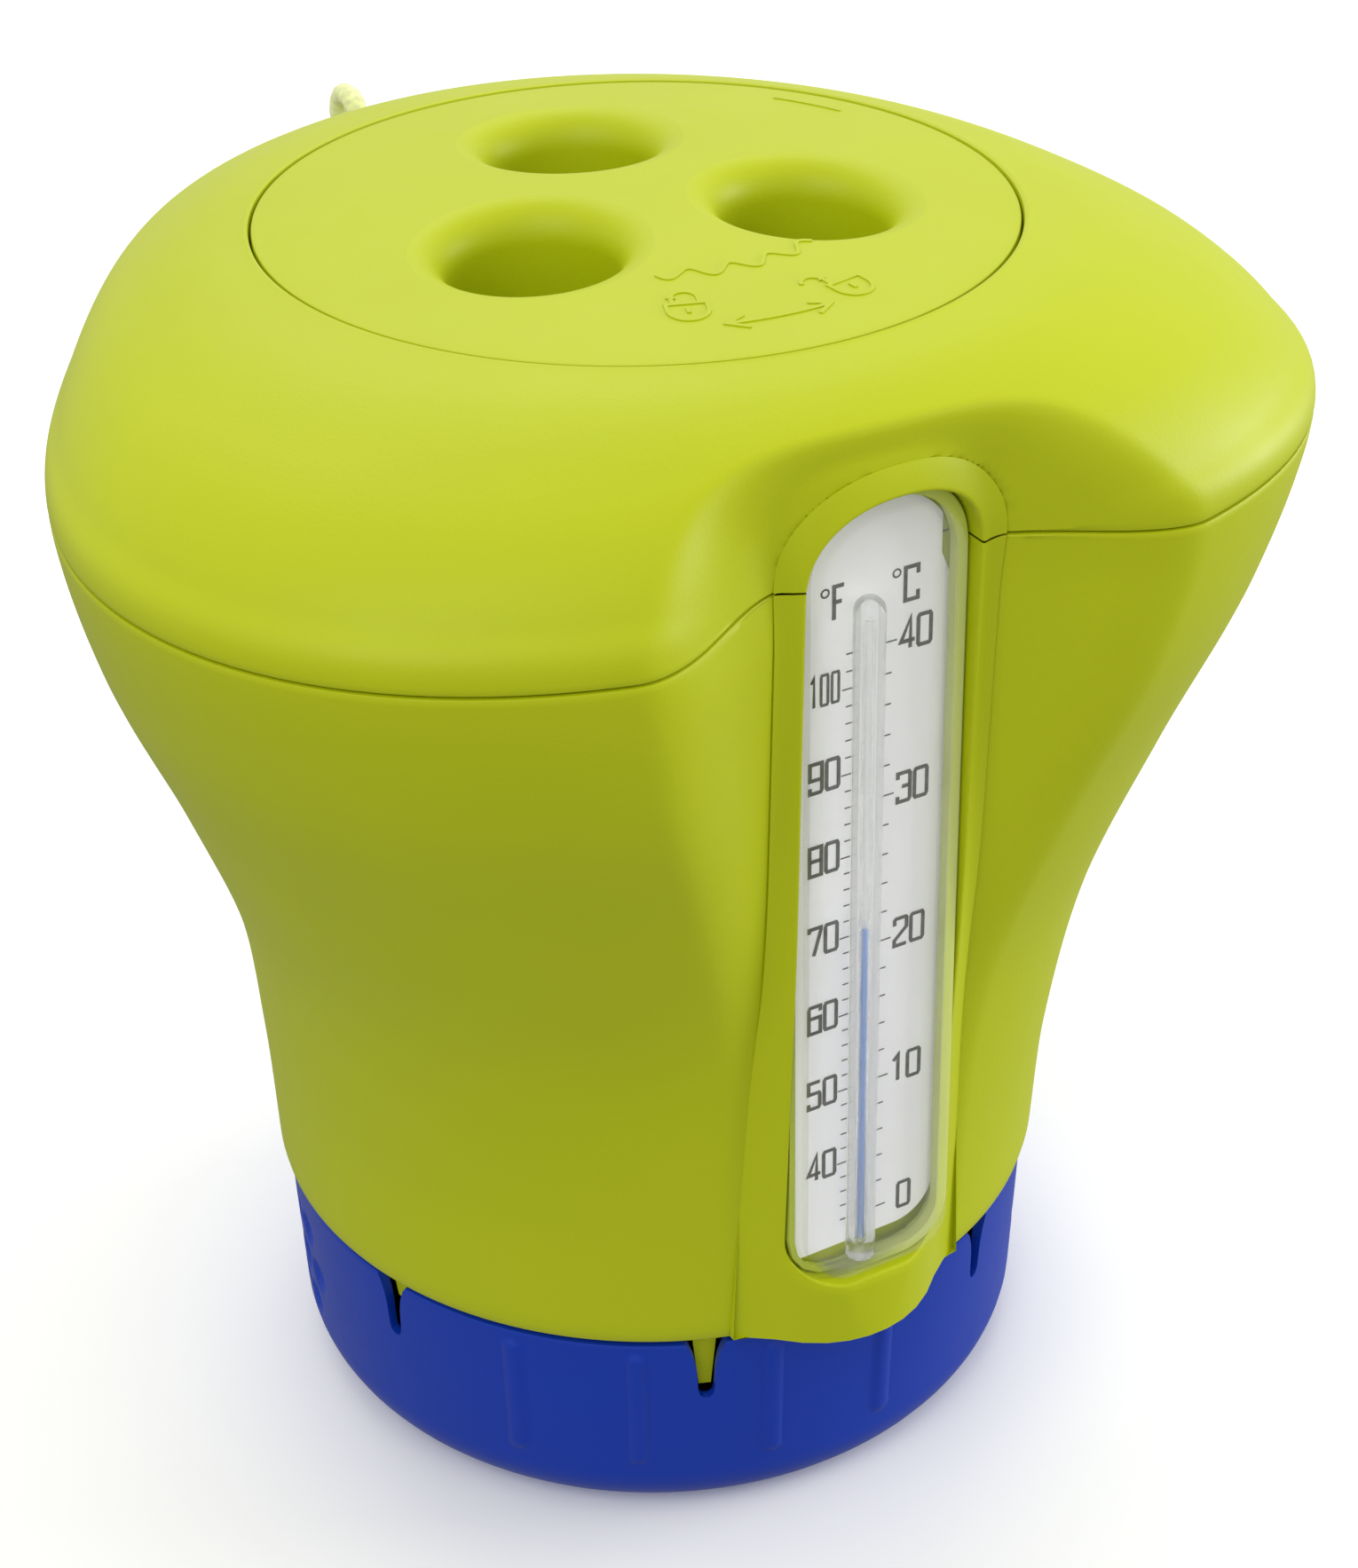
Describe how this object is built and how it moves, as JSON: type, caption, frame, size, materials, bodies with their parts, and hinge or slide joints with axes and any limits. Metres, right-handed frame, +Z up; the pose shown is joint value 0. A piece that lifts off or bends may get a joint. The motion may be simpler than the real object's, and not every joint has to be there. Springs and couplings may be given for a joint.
{
  "type": "floating chlorine dispenser",
  "caption": "Floating tablet dispenser for pools: waisted float with a twist cap, turning flow base, thermometer panel and tether",
  "frame": {"origin": "centre of the flat underside of the base", "axes": "+Z up along the dispenser's axis, -Y out of the thermometer, +X to the thermometer's right"},
  "size_m": [0.1742, 0.1852, 0.1878],
  "materials": {
    "lime_plastic": "fine matt grain",
    "inner_plastic": "plain moulded",
    "blue_plastic": "satin moulded",
    "printed_card": "printed white sheet",
    "clear_lens": "clear moulded plastic",
    "tube_glass": "clear glass",
    "spirit": "dyed spirit",
    "rubber": "plain rubber",
    "rope": "braided cord"
  },
  "bodies": {
    "float_body": {"upper_shell": "lime_plastic", "lower_shell": "lime_plastic", "tablet_chamber": "inner_plastic", "mouth_gasket": "rubber", "floor_seal": "rubber", "flow_collar": "lime_plastic", "thermometer_card": "printed_card", "glass_tube": "tube_glass", "spirit_column": "spirit", "lens": "clear_lens", "lens_gasket": "rubber", "tether_loop": "rope", "tether_knot": "rope", "tether_cord": "rope", "tether_coil": "rope", "tether_end_knot": "rope"},
    "cap_carrier": {"cap_seal": "rubber"},
    "cap": {"cap_top": "lime_plastic", "cap_bayonet_ring": "inner_plastic"},
    "base": {"base_cup": "blue_plastic", "base_retainer": "blue_plastic"}
  },
  "joints": [
    {"name": "cap_lift", "type": "slide", "parent": "float_body", "child": "cap_carrier", "axis": [0, 0, 1], "range_m": [0, 0.09]},
    {"name": "cap_turn", "type": "hinge", "parent": "cap_carrier", "child": "cap", "pos_m": [0, 0, 0.1846], "axis": [0, 0, 1], "range_deg": [0, 40]},
    {"name": "base_turn", "type": "hinge", "parent": "float_body", "child": "base", "pos_m": [0, 0, 0], "axis": [0, 0, 1], "range_deg": [0, 24]}
  ]
}
